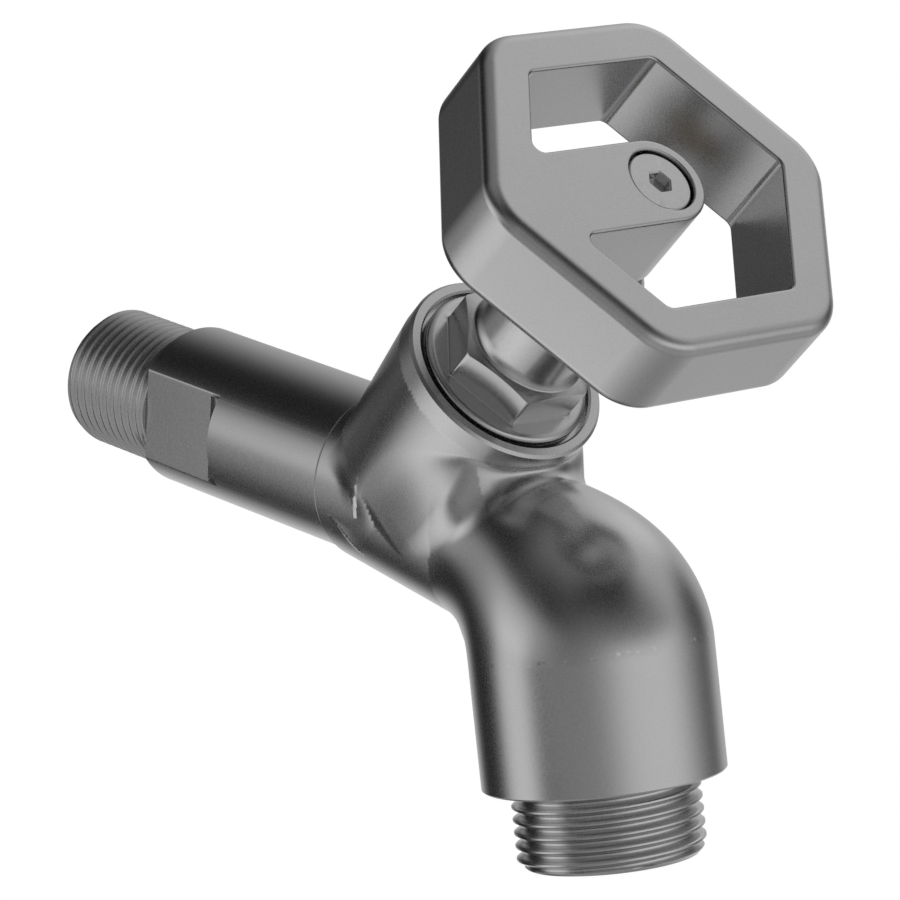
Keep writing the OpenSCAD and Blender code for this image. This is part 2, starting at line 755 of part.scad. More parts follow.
module washer_screw() {
  color([0.75, 0.75, 0.76]) on_headwork() difference() {
    union() {
      rod(washer_screw_head_d / 2, washer_bottom - washer_screw_head_h, washer_bottom);
      rod(washer_screw_d / 2, washer_bottom - eps, screw_hole_top - screw_end_gap);
    }
    translate([0, 0, washer_bottom - washer_screw_head_h])
      cube([washer_screw_head_d + over, screw_slot_w, 2 * screw_slot_depth], center = true);
  }
}

// Outline of the rounded hexagon at one level: six corner discs, corners along X.
module corner_discs(af, r, low, high) {
  reach = (af / 2 - r) * 2 / sqrt(3);
  for (turn = [0 : 60 : 300]) rotate([0, 0, turn]) translate([reach, 0, low])
    cylinder(r = r, h = high - low, $fn = hull_facets);
}

// Height of the rounded edge's foot above the face, at a distance in from the side.
function edge_rise(inset) = handle_edge_r - sqrt(inset * (2 * handle_edge_r - inset));

// Hexagonal ring handle with one spoke and a hub.
module spoke_fillet() {
  reach = spoke_corner_r / tan(30);
  linear_extrude(handle_h) difference() {
    polygon([
      [-over, -over],
      [reach, -over],
      [reach, 0],
      [reach * cos(60), reach * sin(60)],
      [reach * cos(60) - over, reach * sin(60)]
    ]);
    translate([reach, spoke_corner_r]) circle(spoke_corner_r);
  }
}

module handle() {
  half_edge = handle_edge_r * (1 - cos(45));
  opening_af = handle_af - 2 * rim_w;
  spoke_root = (opening_af - spoke_w / 2) / tan(60);
  square_hole = square_side + 2 * joint_gap;
  square_top = spindle_top + face_gap;
  color([0.55, 0.55, 0.56]) on_headwork() difference() {
    union() {
      difference() {
        hull() for (inset = [0, half_edge, handle_edge_r])
          corner_discs(
            handle_af - 2 * inset,
            handle_corner_r - inset,
            handle_bottom + edge_rise(inset),
            handle_top - edge_rise(inset)
          );
        hull() corner_discs(opening_af, opening_corner_r, handle_bottom - over, handle_top + over);
      }
      rod(spoke_w / 2, handle_bottom, handle_top);
      translate([-(handle_af - rim_w) / 2, -spoke_w / 2, handle_bottom])
        cube([(handle_af - rim_w) / 2, spoke_w, handle_h]);
      for (side = [0, 1])
        mirror([0, side, 0]) translate([-spoke_root, spoke_w / 2, handle_bottom]) spoke_fillet();
    }
    rod(pocket_d / 2, washer_seat, handle_top + over);
    rod(screw_d / 2 + 2 * joint_gap, handle_bottom - over, handle_top + over);
    translate([0, 0, (handle_bottom - over + square_top) / 2])
      cube([square_hole, square_hole, square_top - handle_bottom + over], center = true);
  }
}

module handle_screw() {
  head_top = handle_top - screw_sunk;
  head_bottom = head_top - screw_head_h;
  color([0.6, 0.6, 0.61]) on_headwork() difference() {
    union() {
      rotate_extrude() polygon([
        [0, head_bottom],
        [screw_head_d / 2, head_bottom],
        [screw_head_d / 2, head_top - edge],
        [screw_head_d / 2 - edge, head_top],
        [0, head_top]
      ]);
      rod(screw_d / 2, handle_bottom, head_bottom + eps);
    }
    hex_bar(socket_af, head_top - socket_depth, head_top + over);
  }
}

module lock_washer() {
  color([0.7, 0.7, 0.71]) on_headwork()
    ring(screw_head_d / 2 - seal_inset, screw_d / 2 + joint_gap, washer_seat, washer_seat + lock_washer_t);
}

// Outlet nipple: upper thread inside the spout, hose thread below it.
module outlet_nipple() {
  color([0.55, 0.55, 0.56]) on_spout() difference() {
    union() {
      translate([0, 0, -spout_len - eps])
        threaded_rod(
          nipple_thread_d / 2,
          nipple_in_len + eps,
          nipple_thread_depth,
          nipple_pitch,
          nipple_thread_depth
        );
      rod(hose_r - thread_depth, -spout_len - hose_neck_h, -spout_len);
      translate([0, 0, -spout_len - hose_neck_h + eps]) mirror([0, 0, 1])
        threaded_rod(hose_r, hose_thread_len - hose_neck_h + eps, thread_depth, thread_pitch, thread_lead);
    }
    rod(cartridge_r + joint_gap, -cartridge_bottom - joint_gap, -nipple_top + over);
    rod(mouth_bore_d / 2, -far, 0);
    ring(
      cartridge_r + clip_out + 2 * joint_gap,
      cartridge_r - clip_w,
      -clip_top - clip_h - joint_gap,
      -clip_top
    );
  }
}

module nipple_seal() {
  color([0.12, 0.12, 0.12]) on_spout()
    ring(nipple_thread_d / 2 - seal_inset, cartridge_r + seal_bore_gap, -nipple_top, -seal_top);
}

// Check valve housing: tube, port wall at the top, guide hub on three ribs at the bottom.
module check_housing() {
  inner_r = cartridge_r - cartridge_wall;
  hub_r = poppet_stem_d / 2 + running_gap + hub_wall;
  color([0.85, 0.85, 0.82]) on_spout() difference() {
    union() {
      ring(cartridge_r, inner_r, -cartridge_bottom, -cartridge_top);
      ring(inner_r + eps, check_port_d / 2, -port_bottom, -cartridge_top);
      rod(hub_r, -cartridge_bottom, -spider_top);
      for (turn = [90, 210, 330]) rotate([0, 0, turn])
        translate([0, -rib_w / 2, -cartridge_bottom]) cube([inner_r + cartridge_wall / 2, rib_w, spider_h]);
    }
    rod(poppet_stem_d / 2 + running_gap, -far, 0);
    translate([0, 0, -cartridge_top - housing_groove_in])
      ring(cartridge_r + over, groove_floor(cartridge_r, joint_gap), -o_groove_w / 2, o_groove_w / 2);
  }
}

module check_housing_o_ring() {
  color([0.12, 0.12, 0.12]) on_spout()
    o_ring(cartridge_r + joint_gap / 2 - o_ring_w, -cartridge_top - housing_groove_in);
}

module check_retaining_ring() {
  color([0.75, 0.75, 0.76]) on_spout() difference() {
    ring(cartridge_r + clip_out, cartridge_r - clip_w, -clip_top - clip_h, -clip_top);
    translate([0, cartridge_r, -clip_top - clip_h / 2])
      cube([clip_gap, 4 * clip_w, clip_h * 2], center = true);
  }
}

module check_poppet() {
  color([0.8, 0.8, 0.76]) on_spout() {
    rod(poppet_d / 2, -poppet_bottom, -poppet_top);
    rod(poppet_stem_d / 2, -stem_bottom, -poppet_bottom + eps);
    rod(check_port_d / 2 - boss_gap, -poppet_top - eps, -port_bottom);
  }
}

module poppet_seal() {
  color([0.12, 0.12, 0.12]) on_spout()
    ring(poppet_d / 2, check_port_d / 2 - boss_gap + seal_gap, -poppet_top, -poppet_top + poppet_seal_t);
}

// Points of the return spring's centre line, from the guide up to the poppet.
spring_low = -spider_top + spring_wire_d / 2 + joint_gap;
spring_high = -poppet_bottom - spring_wire_d / 2 - joint_gap;
spring_steps = 20;
spring_sides = 6;
spring_rings = ceil(spring_turns * spring_steps);
function spring_point(n) =
  let (angle = 360 * n / spring_steps)
  [
    spring_mean_d / 2 * cos(angle),
    spring_mean_d / 2 * sin(angle),
    spring_low + (spring_high - spring_low) * n / spring_rings
  ];
function spring_ring(n) =
  let (angle = 360 * n / spring_steps, c = spring_point(n))
  [for (side = [0 : spring_sides - 1])
    let (turn = 360 * side / spring_sides)
    c + spring_wire_d / 2 * [cos(turn) * cos(angle), cos(turn) * sin(angle), sin(turn)]];
spring_gap = min([for (n = [0 : spring_rings - spring_steps])
  norm(spring_point(n + spring_steps) - spring_point(n))]) - spring_wire_d;
echo("least gap between the spring's turns", spring_gap);

module check_spring() {
  points = [for (n = [0 : spring_rings]) each spring_ring(n)];
  last = spring_rings * spring_sides;
  sides = [for (n = [0 : spring_rings - 1], side = [0 : spring_sides - 1])
    let (
      a = n * spring_sides + side,
      b = n * spring_sides + (side + 1) % spring_sides
    )
    each [[a, a + spring_sides, b], [b, a + spring_sides, b + spring_sides]]];
  start_cap = [for (side = [1 : spring_sides - 2]) [0, side, side + 1]];
  end_cap = [for (side = [1 : spring_sides - 2]) [last, last + side + 1, last + side]];
  color([0.75, 0.75, 0.76]) on_spout() polyhedron(points, concat(sides, start_cap, end_cap));
}

valve_body();
inlet_shank();
shank_o_ring();
seat_ring();
bonnet();
bonnet_seal();
gland_nut();
gland_packing();
thrust_washer();
spindle();
spindle_o_rings();
jumper();
seat_washer();
washer_screw();
handle();
handle_screw();
lock_washer();
outlet_nipple();
nipple_seal();
check_housing();
check_housing_o_ring();
check_retaining_ring();
check_poppet();
poppet_seal();
check_spring();
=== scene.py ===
import math

import bmesh
import bpy
import numpy as np
import openvdb
from mathutils import Matrix, Vector


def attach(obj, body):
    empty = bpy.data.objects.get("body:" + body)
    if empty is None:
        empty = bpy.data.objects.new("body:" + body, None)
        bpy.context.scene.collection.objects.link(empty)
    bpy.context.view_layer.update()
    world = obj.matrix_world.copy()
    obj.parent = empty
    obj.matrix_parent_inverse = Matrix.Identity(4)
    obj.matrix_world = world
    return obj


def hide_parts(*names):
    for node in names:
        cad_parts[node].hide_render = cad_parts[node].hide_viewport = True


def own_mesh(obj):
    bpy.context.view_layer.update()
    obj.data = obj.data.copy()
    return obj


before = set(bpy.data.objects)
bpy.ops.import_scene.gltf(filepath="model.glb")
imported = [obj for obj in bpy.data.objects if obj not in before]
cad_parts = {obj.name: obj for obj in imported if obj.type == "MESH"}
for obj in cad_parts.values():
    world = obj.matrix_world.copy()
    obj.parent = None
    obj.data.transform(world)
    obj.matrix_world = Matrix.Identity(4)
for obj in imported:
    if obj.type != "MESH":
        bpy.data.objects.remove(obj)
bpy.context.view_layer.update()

# Body: one brass casting, bead-blasted and plated matt. A leaning collar takes the
# headwork, a short arm runs forward and swells into the spout, and a turned stub at
# the back plugs into the shank. Bores, recess and seam are machined after casting.
MM = 0.001
RIGHT = np.array([1.0, 0.0, 0.0])
crossing = np.array([0.0, -49.2, 0.0])
lean = np.array([0.0, -0.656059, 0.754710])
lean_back = np.array([0.0, 0.754710, 0.656059])
spout_down = np.array([0.0, -0.241922, -0.970296])
spout_out = np.array([0.0, 0.970296, -0.241922])
spout_start = np.array([0.0, -84.9, 0.0])
joint_y = -42.3
stub_end_y = -30.7
stub_r = 9.0
barrel_r = 12.35
waterway_r = 6.5
collar_base_r = 12.4
collar_rim_r = 15.05
collar_len = 28.4
collar_rim_len = 3.4
rim_chamfer = 0.4
recess_r = 13.2
flange_seat = 26.9
spout_r = 17.05
spout_len = 32.15
seal_top = 22.15
socket_r = 12.55
arm_bore_len = 35.7
arm_bore_tilt = math.radians(6.3)
bend_bore_r = 6.8
bend_middle = np.array([0.0, -84.9, -3.94])
bonnet_bore_r = 10.2
bonnet_bore_end = 16.9
chamber_r = 9.5
seat_top = 4.2
seat_bore_r = 8.05
seat_floor = 0.6
seat_way_r = 6.0
seal_bore_r = 8.0
outlet_way_r = 6.2
end_face_r = 17.6
small_chamfer = 0.3
end_chamfer = 0.4


def tapered_bar(p, start, end, r_start, r_end):
    """Distance to a straight bar with ball ends of two radii."""
    line = end - start
    length = np.linalg.norm(line)
    along = (p - start) @ (line / length)
    off = np.sqrt(np.maximum(((p - start) ** 2).sum(1) - along**2, 0))
    slope = (r_start - r_end) / length
    flat = math.sqrt(1 - slope**2)
    place = flat * along - slope * off
    side = flat * off + slope * along - r_start
    first = np.hypot(off, along) - r_start
    last = np.hypot(off, along - length) - r_end
    return np.where(place < 0, first, np.where(place > flat * length, last, side))


# The middle line of the swell: y, z and radius at the ends of a smooth curve and of its
# two handles, from the arm to the straight spout.
swell = np.array([
    (-67.4, -3.47, 11.93), (-77.7, -4.6, 12.4), (-86.96, -8.25, spout_r), (-88.34, -13.78, spout_r),
])
swell_steps = 37


def swell_point(t):
    """Middle and radius of the swelling elbow, from 0 at the arm to 1 at the spout."""
    y, z, r = (
        (1 - t) ** 3 * swell[0] + 3 * (1 - t) ** 2 * t * swell[1]
        + 3 * (1 - t) * t**2 * swell[2] + t**3 * swell[3]
    )
    return np.array([0.0, y, z]), r


def swelling_bend(p):
    """Distance to the elbow: balls along a curve that grow from the arm's radius to the spout's."""
    rows = []
    for t in np.linspace(0, 1, swell_steps):
        middle, r = swell_point(t)
        rows.append(np.sqrt(((p - middle) ** 2).sum(1)) - r)
    best = np.minimum.reduce(rows)
    for before, here, after in zip(rows, rows[1:], rows[2:]):
        curve = before + after - 2 * here
        tilt = after - before
        inside = (curve > 1e-6) & (np.abs(tilt) <= curve)
        lowest = here - tilt**2 / (8 * np.where(inside, curve, 1))
        best = np.where(inside, np.minimum(best, lowest), best)
    return best


def ease(value, low, high):
    """Goes smoothly from 0 to 1 as the value goes from low to high."""
    t = np.clip((value - low) / (high - low), 0, 1)
    return t * t * (3 - 2 * t)


def filleted(a, b, r, likeness=0.0):
    """Union of two distances with a round fillet of radius r between them, as a ball rolling
    in the corner leaves it. Likeness is the cosine of the angle between the two surfaces."""
    u, v = r - a, r - b
    between = (u > likeness * v) & (v > likeness * u) & (u > 0) & (v > 0)
    reach = np.sqrt(np.maximum(u**2 + v**2 - 2 * likeness * u * v, 0) / (1 - likeness**2))
    return np.where(between, np.minimum(np.minimum(a, b), r - reach), np.minimum(a, b))


edge_fillet = 0.5
front_fillet = 4.5
side_fillet = 20.0
elbow_fillet = 6.0
collar_root = 5.0
arm_start = np.array([0.0, -35.7, 0.0])
arm_end = np.array([0.0, -80.0, -4.85])
arm_start_r = 11.8
arm_end_r = 12.0
spout_bar_len = 19.6
barrel_overlap = 2.0
rim_spare = 0.6
foot_tuck = 0.6
fillet_reach = 1.3
most_alike = 0.98


def body_skin(p):
    """Distance to the outside of the casting before it is machined."""
    arm = tapered_bar(p, arm_start, arm_end, arm_start_r, arm_end_r)
    spout_top = swell_point(1)[0]
    spout = tapered_bar(p, spout_top, spout_top + spout_bar_len * spout_down, spout_r, spout_r)
    inner = (p - swell_point(0.5)[0]) @ spout_out
    fillet = 0.05 + elbow_fillet * ease(inner, 2, 10)
    legs = np.minimum(filleted(arm, spout, fillet), swelling_bend(p))
    off_axis = np.hypot(p[:, 0], p[:, 2])
    barrel = np.maximum(off_axis - barrel_r, crossing[1] - barrel_overlap - p[:, 1])
    barrel = np.maximum(barrel, p[:, 1] - (stub_end_y + 1))
    trunk = np.minimum(legs, barrel)
    q = p - crossing
    height = q @ lean
    flat = q - np.outer(height, lean)
    off = np.sqrt((flat**2).sum(1))
    slope = (collar_rim_r - collar_base_r) / (collar_len - collar_rim_len)
    sunk = foot_tuck * ease(-height, -3, 4)
    cone = (off - collar_base_r - slope * height + sunk) / math.hypot(1, slope)
    ends = np.maximum(-collar_root - height, height - collar_len - rim_spare)
    collar = np.maximum(np.maximum(cone, off - collar_rim_r), ends)
    arm_line = (arm_end - arm_start) / np.linalg.norm(arm_end - arm_start)
    round_arm = p - arm_start
    round_arm = round_arm - np.outer(round_arm @ arm_line, arm_line)
    round_arm /= np.maximum(np.sqrt((round_arm**2).sum(1)), 1)[:, None]
    likeness = np.clip((round_arm * flat).sum(1) / np.maximum(off, 1), 0, most_alike)
    front = -(flat @ lean_back) / np.maximum(off, 1)
    room = ease(height, 1, 7) * ease(collar_len - height, 0.5, 6)
    left = np.maximum(collar_len - 1 - height, 0.01)
    limit = fillet_reach * left * np.sqrt((1 + likeness) / (1 - likeness))
    wide = side_fillet * limit / (side_fillet**3 + limit**3) ** (1 / 3)
    side = ease(front, -0.2, 0.1) * ease(0.97 - front, 0, 0.27) * ease(height, 0, 4)
    side = np.maximum(side, ease(likeness, 0.8, 0.97))
    radius = edge_fillet + front_fillet * ease(front, 0.3, 0.9) * room + wide * side
    return filleted(trunk, collar, radius, likeness)


slope_step = 0.02


def slopes(shape, p):
    """Unit direction in which a distance grows, from four samples round each point."""
    total = np.zeros_like(p)
    for corner in ((1, 1, 1), (1, -1, -1), (-1, 1, -1), (-1, -1, 1)):
        step = np.array(corner, float)
        total += np.outer(shape(p + slope_step * step), step)
    return total / np.linalg.norm(total, axis=1)[:, None]


def cast(shape, low, high, cell, rounds):
    """Points and four-sided faces of a shape given by its distance, evened out over its surface."""
    block = 4
    counts = (np.ceil((high - low) / (cell * block)).astype(int)) * block
    lines = [low[i] + cell * np.arange(counts[i]) for i in range(3)]
    middles = [line.reshape(-1, block).mean(1) for line in lines]
    rough = shape(np.stack(np.meshgrid(*middles, indexing="ij"), -1).reshape(-1, 3))
    field = rough.reshape([len(m) for m in middles])
    for axis in range(3):
        field = field.repeat(block, axis)
    near = np.argwhere(np.abs(field) < cell * block * 1.5)
    field[tuple(near.T)] = shape(low + near * cell)
    grid = openvdb.FloatGrid(cell * block)
    grid.copyFromArray(field.astype(np.float32))
    points, quads = grid.convertToQuads(0.0)
    points = low + points.astype(float) * cell
    quads = quads.astype(int)
    sides = np.concatenate([quads[:, [i, (i + 1) % 4]] for i in range(4)])
    sides = np.unique(np.sort(sides, axis=1), axis=0)
    both = np.concatenate([sides, sides[:, ::-1]])
    count = np.bincount(both[:, 0], minlength=len(points))[:, None]
    for _ in range(rounds):
        normal = slopes(shape, points)
        sums = [np.bincount(both[:, 0], points[both[:, 1], i], len(points)) for i in range(3)]
        middle = np.stack(sums, 1) / count
        move = middle - points
        move -= normal * (move * normal).sum(1)[:, None]
        points += 0.7 * move - normal * shape(points)[:, None]
    for _ in range(2):
        points -= slopes(shape, points) * shape(points)[:, None]
    return points, quads


def make_piece(name, points, faces, finish, crease=38, weld=True):
    """A named mesh object from points in millimetres, smooth but for its sharp edges."""
    mesh = bpy.data.meshes.new(name)
    mesh.from_pydata((np.asarray(points, float) * MM).tolist(), [], [list(map(int, f)) for f in faces])
    work = bmesh.new()
    work.from_mesh(mesh)
    if weld:
        bmesh.ops.remove_doubles(work, verts=work.verts, dist=1e-6)
        bmesh.ops.dissolve_degenerate(work, edges=work.edges, dist=1e-7)
    bmesh.ops.recalc_face_normals(work, faces=work.faces)
    work.to_mesh(mesh)
    work.free()
    mesh.shade_smooth()
    mesh.set_sharp_from_angle(angle=math.radians(crease))
    piece = bpy.data.objects.new(name, mesh)
    bpy.context.scene.collection.objects.link(piece)
    if finish:
        mesh.materials.append(finish)
    return piece


def turned(origin, axis, rows, angles=None, sides=96, closed=True):
    """Points and faces of a part turned about an axis: rows of radius and height, each one
    number or one for each angle. Closed rows make a ring, open rows start and end on the axis."""
    if angles is None:
        angles = np.linspace(0, 2 * math.pi, sides + 1)
    side = RIGHT
    other = np.cross(axis, side)
    ring = np.outer(np.cos(angles), side) + np.outer(np.sin(angles), other)
    points = []
    for radius, height in rows:
        r = np.broadcast_to(np.asarray(radius, float), angles.shape)
        h = np.broadcast_to(np.asarray(height, float), angles.shape)
        points.append(origin + ring * r[:, None] + np.outer(h, axis))
    across = len(angles)
    faces = []
    pairs = list(zip(range(len(rows)), range(1, len(rows))))
    if closed:
        pairs.append((len(rows) - 1, 0))
    for a, b in pairs:
        start = np.arange(across - 1)
        low, high = a * across + start, b * across + start
        faces.append(np.stack([low, low + 1, high + 1, high], 1))
    return np.concatenate(points), np.concatenate(faces)


def carve(piece, tool):
    """Takes the tool's solid out of the piece."""
    cut = piece.modifiers.new("cut", "BOOLEAN")
    cut.operation = "DIFFERENCE"
    cut.solver = "MANIFOLD"
    cut.object = tool
    shaped = piece.evaluated_get(bpy.context.evaluated_depsgraph_get())
    mesh = bpy.data.meshes.new_from_object(shaped)
    piece.modifiers.clear()
    piece.data = mesh
    bpy.data.objects.remove(tool)


class Value:
    """One output in a material, so that sums and products are written as they are read."""

    def __init__(self, finish, socket):
        self.finish = finish
        self.socket = socket

    def sum_of(self, operation, *values):
        return self.finish.node("ShaderNodeMath", {"operation": operation}, *values)

    def __add__(self, other):
        return self.sum_of("ADD", self, other)

    def __radd__(self, other):
        return self.sum_of("ADD", other, self)

    def __sub__(self, other):
        return self.sum_of("SUBTRACT", self, other)

    def __rsub__(self, other):
        return self.sum_of("SUBTRACT", other, self)

    def __mul__(self, other):
        return self.sum_of("MULTIPLY", self, other)

    def __rmul__(self, other):
        return self.sum_of("MULTIPLY", other, self)


class Finish:
    """One surface finish: a material with its Principled shader, and ways to add nodes to it."""

    def __init__(self, name, **constants):
        self.material = bpy.data.materials.new(name)
        self.material.use_nodes = True
        self.tree = self.material.node_tree
        self.shader = self.tree.nodes["Principled BSDF"]
        for socket, value in constants.items():
            self.shader.inputs[socket.replace("_", " ")].default_value = value

    def node(self, kind, settings, *values, links=None, out=0):
        """Adds a node, sets it up, and joins or sets its inputs by place or by name."""
        made = self.tree.nodes.new(kind)
        for key, setting in settings.items():
            setattr(made, key, setting)
        for place, value in [*enumerate(values), *(links or {}).items()]:
            if isinstance(value, Value):
                self.tree.links.new(value.socket, made.inputs[place])
            else:
                made.inputs[place].default_value = value
        return Value(self, made.outputs[out])

    def place(self):
        return self.node("ShaderNodeTexCoord", {}, out=3)

    def noise(self, per_mm, detail=2.0):
        links = {"Vector": self.place(), "Scale": per_mm / MM, "Detail": detail}
        return self.node("ShaderNodeTexNoise", {}, links=links)

    def tint(self, amount, dark, light):
        links = {0: amount, 6: dark, 7: light}
        return self.node("ShaderNodeMix", {"data_type": "RGBA"}, links=links, out=2)

    def feed(self, socket, value):
        self.tree.links.new(value.socket, self.shader.inputs[socket])

    def bump(self, height, strength, depth_mm):
        links = {"Strength": strength, "Distance": depth_mm * MM, "Height": height}
        self.feed("Normal", self.node("ShaderNodeBump", {}, links=links))


def grey(level):
    return (level, level, level * 1.005, 1.0)


matt_metal = Finish("blasted_plating", Metallic=1.0, Roughness=0.27)
grain = matt_metal.noise(2.2, 3.0)
cloud = matt_metal.noise(0.06, 2.0)
matt_metal.feed("Base Color", matt_metal.tint(grain * 0.6 + cloud * 0.4, grey(0.50), grey(0.68)))
matt_metal.feed("Roughness", 0.21 + grain * 0.08 + cloud * 0.03)
matt_metal.bump(matt_metal.noise(2.6, 2.0), 0.05, 0.05)

body_low = np.array([-18.5, -112.0, -52.0])
body_high = np.array([18.5, -28.0, 34.0])
cell = 0.45
evening_rounds = 8
skin_points, skin_faces = cast(body_skin, body_low, body_high, cell, evening_rounds)
body = make_piece("body_casting", skin_points, skin_faces, None, weld=False)

groove_y = stub_end_y - 2.8
groove_r = 7.815
groove_half = 0.8
seam_chamfer = 0.35
back_cut = [
    (0, -20), (30, -20), (30, joint_y), (13.2, joint_y),
    (barrel_r + 0.2, joint_y - seam_chamfer - 0.2), (barrel_r - seam_chamfer, joint_y),
    (stub_r, joint_y), (stub_r, groove_y - groove_half), (groove_r, groove_y - groove_half),
    (groove_r, groove_y + groove_half), (stub_r, groove_y + groove_half),
    (stub_r, stub_end_y - end_chamfer), (stub_r - end_chamfer, stub_end_y), (0, stub_end_y),
]
inlet_cut = [(0, -29), (waterway_r, -29), (waterway_r, crossing[1]), (0, crossing[1])]
headwork_cut = [
    (0, 40), (collar_rim_r + 0.3, 40), (collar_rim_r + 0.3, collar_len - rim_chamfer - 0.3),
    (collar_rim_r - rim_chamfer, collar_len),
    (recess_r + small_chamfer, collar_len), (recess_r, collar_len - small_chamfer),
    (recess_r, flange_seat), (bonnet_bore_r, flange_seat), (bonnet_bore_r, bonnet_bore_end),
    (chamber_r, bonnet_bore_end), (chamber_r, seat_top), (seat_bore_r, seat_top),
    (seat_bore_r, seat_floor), (seat_way_r, seat_floor), (seat_way_r, -5), (0, -5),
]
spout_cut = [
    (0, 60), (40, 60), (40, spout_len), (end_face_r, spout_len),
    (end_face_r, spout_len - 0.8), (spout_r - 0.25, spout_len),
    (socket_r + end_chamfer, spout_len), (socket_r, spout_len - end_chamfer), (socket_r, seal_top),
    (seal_bore_r, seal_top), (seal_bore_r, seal_top - 2), (outlet_way_r, seal_top - 2),
    (outlet_way_r, 2), (0, 2),
]
arm_direction = np.array([0.0, -math.cos(arm_bore_tilt), -math.sin(arm_bore_tilt)])
arm_cut = [(0, 12), (waterway_r, 12), (waterway_r, arm_bore_len), (0, arm_bore_len)]
half_turn = np.linspace(0, math.pi, 17)
turn_room = [(bend_bore_r * math.sin(a), -bend_bore_r * math.cos(a)) for a in half_turn]
for origin, axis, rows in (
    (np.zeros(3), np.array([0.0, 1.0, 0.0]), back_cut),
    (np.zeros(3), np.array([0.0, 1.0, 0.0]), inlet_cut),
    (crossing, lean, headwork_cut),
    (crossing, arm_direction, arm_cut),
    (bend_middle, spout_down, turn_room),
    (spout_start, spout_down, spout_cut),
):
    cutter = turned(origin, axis, rows, sides=128, closed=False)
    carve(body, make_piece("tool", *cutter, None))


skin_reach = 0.015
least_agreement = 0.93


def settle_normals(piece, shape, crease):
    """Gives a carved casting's outer skin the exact normals of its shape, and leaves cut edges sharp."""
    mesh = piece.data
    mesh.shade_smooth()
    mesh.set_sharp_from_angle(angle=math.radians(crease))
    co = np.zeros(len(mesh.vertices) * 3)
    mesh.vertices.foreach_get("co", co)
    co = co.reshape(-1, 3) / MM
    on_skin = np.abs(shape(co)) < skin_reach
    exact = np.zeros_like(co)
    exact[on_skin] = slopes(shape, co[on_skin])
    corner = np.zeros(len(mesh.loops) * 3)
    mesh.corner_normals.foreach_get("vector", corner)
    corner = corner.reshape(-1, 3)
    vertex = np.zeros(len(mesh.loops), int)
    mesh.loops.foreach_get("vertex_index", vertex)
    starts = np.zeros(len(mesh.polygons), int)
    totals = np.zeros(len(mesh.polygons), int)
    face_normal = np.zeros(len(mesh.polygons) * 3)
    mesh.polygons.foreach_get("loop_start", starts)
    mesh.polygons.foreach_get("loop_total", totals)
    mesh.polygons.foreach_get("normal", face_normal)
    face_of = np.repeat(np.arange(len(starts)), totals)
    face_normal = face_normal.reshape(-1, 3)[face_of]
    agree = (face_normal * exact[vertex]).sum(1) > least_agreement
    corner[agree] = exact[vertex][agree]
    mesh.normals_split_custom_set(corner.tolist())


settle_normals(body, body_skin, 30)
body.data.materials.clear()
body.data.materials.append(matt_metal.material)
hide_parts("valve_body")
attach(body, "root")

# Shank: turned from brass bar and plated like the body. Half-inch pipe thread into the
# wall, two spanner flats behind the shoulder, and a socket that takes the body's stub
# with one O-ring.
shank_r = 12.0
flat_half = 9.9
flat_len = 17.2
thread_pitch = 1.814
thread_depth = 1.162
inlet_thread_r = 10.4775
inlet_thread_len = 20.2
pipe_lead = 1.2
INLET = np.array([0.0, 1.0, 0.0])


def soft_min(a, b, k):
    """The smaller of two values, rounded over the width k where they cross."""
    blend = np.maximum(k - np.abs(a - b), 0) / k
    return np.minimum(a, b) - blend * blend * k / 4


def round_angles(spots, sides=144):
    """Angles round a part, from 0 to a full turn, closer together near its edges."""
    full = 2 * math.pi
    close = [spot + step for spot in spots for step in (-0.03, -0.012, -0.004, 0.004, 0.012, 0.03)]
    return np.sort(np.concatenate([np.linspace(0, full, sides + 1), np.mod(close, full)]))


def thread_rows(angles, radius, pitch, depth, length, lead, hand=1):
    """Rows of a helical thread, from its shoulder to its chamfered end."""
    steps = 14
    turn = hand * angles / (2 * math.pi)
    rows = []
    for i in range(int((length / pitch + 4) * steps)):
        h = np.clip(pitch * (i / steps - 2 + turn), 0, length)
        wave = 2 * np.abs((h / pitch - turn) % 1 - 0.5)
        r = radius - depth * ease(wave, 0.1, 0.9)
        rows.append((np.minimum(r, radius - lead + length - h), h))
    return rows


turned_metal = Finish("turned_plating", Metallic=1.0, Roughness=0.32)


def along_way(finish, point, way):
    """How far a point in a material lies along a direction."""
    settings = {"operation": "DOT_PRODUCT"}
    return finish.node("ShaderNodeVectorMath", settings, point, tuple(way), out=1)


def lathe_lines(finish, axis, per_mm):
    """Value that changes only along an axis, as the marks of a turning tool do."""
    links = {"W": along_way(finish, finish.place(), axis), "Scale": per_mm / MM}
    return finish.node("ShaderNodeTexNoise", {"noise_dimensions": "1D"}, links=links)


fine = turned_metal.noise(2.5)
turned_metal.feed("Base Color", turned_metal.tint(fine, grey(0.54), grey(0.66)))
turned_metal.feed("Roughness", 0.19 + fine * 0.08)
turned_metal.bump(lathe_lines(turned_metal, lean, 4.0), 0.10, 0.02)

flat_edge = math.acos(flat_half / shank_r)
shank_angles = round_angles([flat_edge, -flat_edge, math.pi - flat_edge, math.pi + flat_edge])
flat_reach = flat_half / np.maximum(np.abs(np.cos(shank_angles)), 0.1)
flatted = soft_min(np.full(len(shank_angles), shank_r), flat_reach, 0.1)
relief_width = 1.8
relief_depth = 0.7
relieved = flatted - relief_depth * ease(shank_r - flatted, 0.12, 0.3)
shank_rows = [
    (stub_r + 0.35, joint_y), (shank_r - seam_chamfer, joint_y), (shank_r, joint_y + seam_chamfer),
    (shank_r, -flat_len - 0.15), (np.maximum(relieved, shank_r - 0.15), -flat_len), (relieved, -flat_len),
    (relieved, relief_width - flat_len), (flatted, relief_width - flat_len + 0.15), (flatted, -0.2),
    (flatted - 0.2, 0),
]
shank_rows += thread_rows(
    shank_angles, inlet_thread_r, thread_pitch, thread_depth, inlet_thread_len, pipe_lead
)
